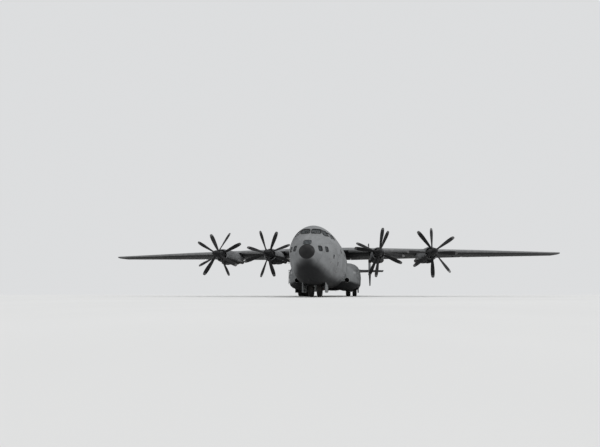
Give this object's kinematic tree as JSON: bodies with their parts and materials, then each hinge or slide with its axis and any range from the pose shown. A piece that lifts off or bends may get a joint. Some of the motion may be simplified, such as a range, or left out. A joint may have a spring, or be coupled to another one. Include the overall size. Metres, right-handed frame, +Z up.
{
  "type": "half-size scale model of a four-engined turboprop military transport aircraft",
  "caption": "High-wing cargo aircraft with contra-rotating propellers, twin fins, side wheel fairings and a rear loading ramp, parked on its landing gear.",
  "frame": {"origin": "centre of the overall box at the ground, under the tyres", "axes": "+X to the aircraft's left wing tip, +Y aft from nose to tail, +Z up"},
  "size_m": [32.2, 28.96, 6.265],
  "materials": {
    "airframe_paint": "satin light grey paint",
    "belly_paint": "satin darker grey paint",
    "dark_composite": "matt black dielectric skin",
    "propeller_metal": "matt black paint",
    "tyre_rubber": "black rubber",
    "leg_steel": "grey enamel and bare steel",
    "deck": "matt grey non-slip paint",
    "glazing": "dark tinted glass"
  },
  "bodies": {
    "airframe": {"cargo_deck": "deck", "cockpit_glazing": "glazing", "crew_deck": "deck", "fin_left": "airframe_paint", "fin_right": "airframe_paint", "fuselage_centre": "airframe_paint", "fuselage_nose": "airframe_paint", "fuselage_rear": "airframe_paint", "main_gear_doors_left": "belly_paint", "main_gear_doors_right": "belly_paint", "main_gear_legs_left": "leg_steel", "main_gear_legs_right": "leg_steel", "nacelle_inner_left": "airframe_paint", "nacelle_inner_right": "airframe_paint", "nacelle_outer_left": "airframe_paint", "nacelle_outer_right": "airframe_paint", "navigator_glazing": "glazing", "nose_cap": "dark_composite", "nose_gear_bay": "belly_paint", "nose_gear_door_left": "belly_paint", "nose_gear_door_right": "belly_paint", "tailplane": "airframe_paint", "wheel_fairing_left": "belly_paint", "wheel_fairing_right": "belly_paint", "wing_inner": "airframe_paint", "wing_outer_left": "airframe_paint", "wing_outer_right": "airframe_paint"},
    "steered_leg": {"nose_gear_leg": "leg_steel"},
    "nose_wheel_pair": {"nose_wheels": "tyre_rubber"},
    "main_wheel_pair_left_1": {"main_wheels_left_1": "tyre_rubber"},
    "main_wheel_pair_left_2": {"main_wheels_left_2": "tyre_rubber"},
    "main_wheel_pair_left_3": {"main_wheels_left_3": "tyre_rubber"},
    "main_wheel_pair_right_1": {"main_wheels_right_1": "tyre_rubber"},
    "main_wheel_pair_right_2": {"main_wheels_right_2": "tyre_rubber"},
    "main_wheel_pair_right_3": {"main_wheels_right_3": "tyre_rubber"},
    "flap_inner_left": {"flap_inner_left": "airframe_paint"},
    "flap_outer_left": {"flap_outer_left": "airframe_paint"},
    "aileron_left": {"aileron_left": "airframe_paint"},
    "elevator_left": {"elevator_left": "airframe_paint"},
    "rudder_lower_left": {"rudder_lower_left": "airframe_paint"},
    "rudder_upper_left": {"rudder_upper_left": "airframe_paint"},
    "flap_inner_right": {"flap_inner_right": "airframe_paint"},
    "flap_outer_right": {"flap_outer_right": "airframe_paint"},
    "aileron_right": {"aileron_right": "airframe_paint"},
    "elevator_right": {"elevator_right": "airframe_paint"},
    "rudder_lower_right": {"rudder_lower_right": "airframe_paint"},
    "rudder_upper_right": {"rudder_upper_right": "airframe_paint"},
    "ramp": {"loading_ramp": "belly_paint"},
    "rear_door": {"cargo_door": "belly_paint"},
    "crew_door_left": {"crew_door_left": "belly_paint"},
    "crew_door_right": {"crew_door_right": "belly_paint"},
    "propeller_front_inner_left": {"propeller_front_inner_left": "propeller_metal"},
    "propeller_rear_inner_left": {"propeller_rear_inner_left": "propeller_metal"},
    "propeller_front_inner_right": {"propeller_front_inner_right": "propeller_metal"},
    "propeller_rear_inner_right": {"propeller_rear_inner_right": "propeller_metal"},
    "propeller_front_outer_left": {"propeller_front_outer_left": "propeller_metal"},
    "propeller_rear_outer_left": {"propeller_rear_outer_left": "propeller_metal"},
    "propeller_front_outer_right": {"propeller_front_outer_right": "propeller_metal"},
    "propeller_rear_outer_right": {"propeller_rear_outer_right": "propeller_metal"}
  },
  "joints": [
    {"name": "nose_steering", "type": "hinge", "parent": "airframe", "child": "steered_leg", "pos_m": [0, -11.18, 0.75], "axis": [0, 0, 1], "range_deg": [-35, 35]},
    {"name": "nose_wheel_spin", "type": "hinge", "parent": "steered_leg", "child": "nose_wheel_pair", "pos_m": [0, -11.09, 0.35553], "axis": [1, 0, 0], "continuous": true},
    {"name": "main_wheel_spin_left_1", "type": "hinge", "parent": "airframe", "child": "main_wheel_pair_left_1", "pos_m": [1.73, -3.555, 0.42909], "axis": [1, 0, 0], "continuous": true},
    {"name": "main_wheel_spin_left_2", "type": "hinge", "parent": "airframe", "child": "main_wheel_pair_left_2", "pos_m": [1.73, -2.305, 0.42909], "axis": [1, 0, 0], "continuous": true},
    {"name": "main_wheel_spin_left_3", "type": "hinge", "parent": "airframe", "child": "main_wheel_pair_left_3", "pos_m": [1.73, -1.055, 0.42909], "axis": [1, 0, 0], "continuous": true},
    {"name": "main_wheel_spin_right_1", "type": "hinge", "parent": "airframe", "child": "main_wheel_pair_right_1", "pos_m": [-1.73, -3.555, 0.42909], "axis": [1, 0, 0], "continuous": true},
    {"name": "main_wheel_spin_right_2", "type": "hinge", "parent": "airframe", "child": "main_wheel_pair_right_2", "pos_m": [-1.73, -2.305, 0.42909], "axis": [1, 0, 0], "continuous": true},
    {"name": "main_wheel_spin_right_3", "type": "hinge", "parent": "airframe", "child": "main_wheel_pair_right_3", "pos_m": [-1.73, -1.055, 0.42909], "axis": [1, 0, 0], "continuous": true},
    {"name": "flap_inner_left_hinge", "type": "hinge", "parent": "airframe", "child": "flap_inner_left", "pos_m": [3.4, -1.72494, 3.06468], "axis": [0.9943, -0.1066, -0.0062], "range_deg": [-35, 0]},
    {"name": "flap_outer_left_hinge", "type": "hinge", "parent": "airframe", "child": "flap_outer_left", "pos_m": [7.6375, -2.17925, 3.03471], "axis": [0.9943, -0.1066, -0.0076], "range_deg": [-35, 0]},
    {"name": "aileron_left_hinge", "type": "hinge", "parent": "airframe", "child": "aileron_left", "pos_m": [12.825, -2.807, 2.9635], "axis": [0.9909, -0.1332, -0.0195], "range_deg": [-20, 20]},
    {"name": "elevator_left_hinge", "type": "hinge", "parent": "airframe", "child": "elevator_left", "pos_m": [2.45, 12.54676, 2.83865], "axis": [0.9979, 0.0634, 0.009], "range_deg": [-22, 25]},
    {"name": "rudder_lower_left_hinge", "type": "hinge", "parent": "airframe", "child": "rudder_lower_left", "pos_m": [3.86, 12.46116, 2.0625], "axis": [0, -0.0534, 0.9986], "range_deg": [-25, 25]},
    {"name": "rudder_upper_left_hinge", "type": "hinge", "parent": "airframe", "child": "rudder_upper_left", "pos_m": [3.86, 12.74557, 4.5125], "axis": [0, 0.2039, 0.979], "range_deg": [-25, 25]},
    {"name": "flap_inner_right_hinge", "type": "hinge", "parent": "airframe", "child": "flap_inner_right", "pos_m": [-3.4, -1.72494, 3.06468], "axis": [0.9943, 0.1066, 0.0062], "range_deg": [-35, 0]},
    {"name": "flap_outer_right_hinge", "type": "hinge", "parent": "airframe", "child": "flap_outer_right", "pos_m": [-7.6375, -2.17925, 3.03471], "axis": [0.9943, 0.1066, 0.0076], "range_deg": [-35, 0]},
    {"name": "aileron_right_hinge", "type": "hinge", "parent": "airframe", "child": "aileron_right", "pos_m": [-12.825, -2.807, 2.9635], "axis": [0.9909, 0.1332, 0.0195], "range_deg": [-20, 20]},
    {"name": "elevator_right_hinge", "type": "hinge", "parent": "airframe", "child": "elevator_right", "pos_m": [-2.45, 12.54676, 2.83865], "axis": [0.9979, -0.0634, -0.009], "range_deg": [-22, 25]},
    {"name": "rudder_lower_right_hinge", "type": "hinge", "parent": "airframe", "child": "rudder_lower_right", "pos_m": [-3.86, 12.46116, 2.0625], "axis": [0, -0.0534, 0.9986], "range_deg": [-25, 25]},
    {"name": "rudder_upper_right_hinge", "type": "hinge", "parent": "airframe", "child": "rudder_upper_right", "pos_m": [-3.86, 12.74557, 4.5125], "axis": [0, 0.2039, 0.979], "range_deg": [-25, 25]},
    {"name": "loading_ramp_hinge", "type": "hinge", "parent": "airframe", "child": "ramp", "pos_m": [0, 3.755, 0.65], "axis": [1, 0, 0], "range_deg": [-18.5, 0]},
    {"name": "cargo_door_hinge", "type": "hinge", "parent": "airframe", "child": "rear_door", "pos_m": [0, 9.9647, 1.76166], "axis": [1, 0, 0], "range_deg": [-28, 0]},
    {"name": "crew_door_left_hinge", "type": "hinge", "parent": "airframe", "child": "crew_door_left", "pos_m": [2.345, -6.215, 1.225], "axis": [0, 0, 1], "range_deg": [-95, 0]},
    {"name": "crew_door_right_hinge", "type": "hinge", "parent": "airframe", "child": "crew_door_right", "pos_m": [-2.345, -6.215, 1.225], "axis": [0, 0, 1], "range_deg": [0, 95]},
    {"name": "propeller_front_inner_left_spin", "type": "hinge", "parent": "airframe", "child": "propeller_front_inner_left", "pos_m": [3.525, -7.455, 2.675], "axis": [0, 1, 0], "continuous": true},
    {"name": "propeller_rear_inner_left_spin", "type": "hinge", "parent": "airframe", "child": "propeller_rear_inner_left", "pos_m": [3.525, -7.005, 2.675], "axis": [0, 1, 0], "continuous": true},
    {"name": "propeller_front_inner_right_spin", "type": "hinge", "parent": "airframe", "child": "propeller_front_inner_right", "pos_m": [-3.525, -7.455, 2.675], "axis": [0, 1, 0], "continuous": true},
    {"name": "propeller_rear_inner_right_spin", "type": "hinge", "parent": "airframe", "child": "propeller_rear_inner_right", "pos_m": [-3.525, -7.005, 2.675], "axis": [0, 1, 0], "continuous": true},
    {"name": "propeller_front_outer_left_spin", "type": "hinge", "parent": "airframe", "child": "propeller_front_outer_left", "pos_m": [6.8, -7.455, 2.675], "axis": [0, 1, 0], "continuous": true},
    {"name": "propeller_rear_outer_left_spin", "type": "hinge", "parent": "airframe", "child": "propeller_rear_outer_left", "pos_m": [6.8, -7.005, 2.675], "axis": [0, 1, 0], "continuous": true},
    {"name": "propeller_front_outer_right_spin", "type": "hinge", "parent": "airframe", "child": "propeller_front_outer_right", "pos_m": [-6.8, -7.455, 2.675], "axis": [0, 1, 0], "continuous": true},
    {"name": "propeller_rear_outer_right_spin", "type": "hinge", "parent": "airframe", "child": "propeller_rear_outer_right", "pos_m": [-6.8, -7.005, 2.675], "axis": [0, 1, 0], "continuous": true}
  ]
}
